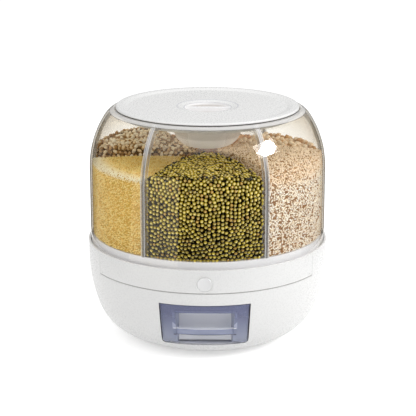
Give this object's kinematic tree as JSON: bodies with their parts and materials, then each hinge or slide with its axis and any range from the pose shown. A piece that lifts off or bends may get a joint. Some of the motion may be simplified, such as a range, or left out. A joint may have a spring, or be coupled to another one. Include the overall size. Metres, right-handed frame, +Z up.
{
  "type": "grain dispenser",
  "caption": "Countertop grain dispenser: a clear turning barrel with wedge compartments and a lift-off lid on a white base with a push-button outlet and a pull-out measuring drawer.",
  "frame": {"origin": "middle of the plane that the four rubber feet stand on, on the axis that the barrel turns about", "axes": "+Z up along the barrel's axis; the front, with the push button and the drawer, faces -Y; +X is to the right seen from the front"},
  "size_m": [0.256, 0.256, 0.2497],
  "materials": {
    "white_plastic": "smooth glossy white",
    "button_plastic": "smooth glossy white",
    "bay_plastic": "matte grey-white",
    "slippery_plastic": "waxy off-white, low friction",
    "clear_plastic": "clear and polished",
    "frosted_plastic": "frosted, milky",
    "drawer_plastic": "clear with a blue-grey tint",
    "soft_seal": "soft translucent silicone",
    "foot_rubber": "matte",
    "steel": "plain turned",
    "mung_beans": "small round green beans",
    "wheat": "small tan grains",
    "soybeans": "round pale tan beans",
    "red_lentils": "small reddish grains",
    "oats": "long tan-brown grains",
    "millet": "fine golden yellow grains"
  },
  "bodies": {
    "base": {"base_shell": "white_plastic", "front_fascia": "white_plastic", "rubber_feet": "foot_rubber", "deck": "white_plastic", "deck_screws": "steel", "glide_ring": "slippery_plastic", "spindle": "steel", "spindle_washer": "steel", "spindle_screw": "steel", "outlet_seal": "soft_seal", "outlet_chute": "white_plastic", "chute_screws": "steel", "drawer_bay": "bay_plastic", "bay_screws": "steel", "button_bezel": "white_plastic", "button_spring": "steel"},
    "barrel": {"barrel_shell": "clear_plastic", "centre_column": "clear_plastic", "turntable_floor": "white_plastic", "divider_1": "clear_plastic", "divider_2": "clear_plastic", "divider_3": "clear_plastic", "divider_4": "clear_plastic", "divider_5": "clear_plastic", "divider_6": "clear_plastic", "mung_bean_fill": "mung_beans", "wheat_fill": "wheat", "soybean_fill": "soybeans", "red_lentil_fill": "red_lentils", "oat_fill": "oats", "millet_fill": "millet"},
    "lid": {"lid": "white_plastic", "lid_seal": "soft_seal", "lid_grip_cup": "frosted_plastic"},
    "gate": {"dispense_button": "button_plastic", "gate_slider": "slippery_plastic"},
    "drawer": {"grain_drawer": "drawer_plastic"}
  },
  "joints": [
    {"name": "barrel_turn", "type": "hinge", "parent": "base", "child": "barrel", "pos_m": [0, 0, 0.1025], "axis": [0, 0, 1], "continuous": true},
    {"name": "lid_lift", "type": "slide", "parent": "barrel", "child": "lid", "axis": [0, 0, 1], "range_m": [0, 0.06]},
    {"name": "button_press", "type": "slide", "parent": "base", "child": "gate", "axis": [0, 1, 0], "range_m": [0, 0.01], "stiffness_N_per_m": 350, "springref_m": -0.004, "deforming": ["button_spring"]},
    {"name": "drawer_slide", "type": "slide", "parent": "base", "child": "drawer", "axis": [0, -1, 0], "range_m": [0, 0.09]}
  ]
}
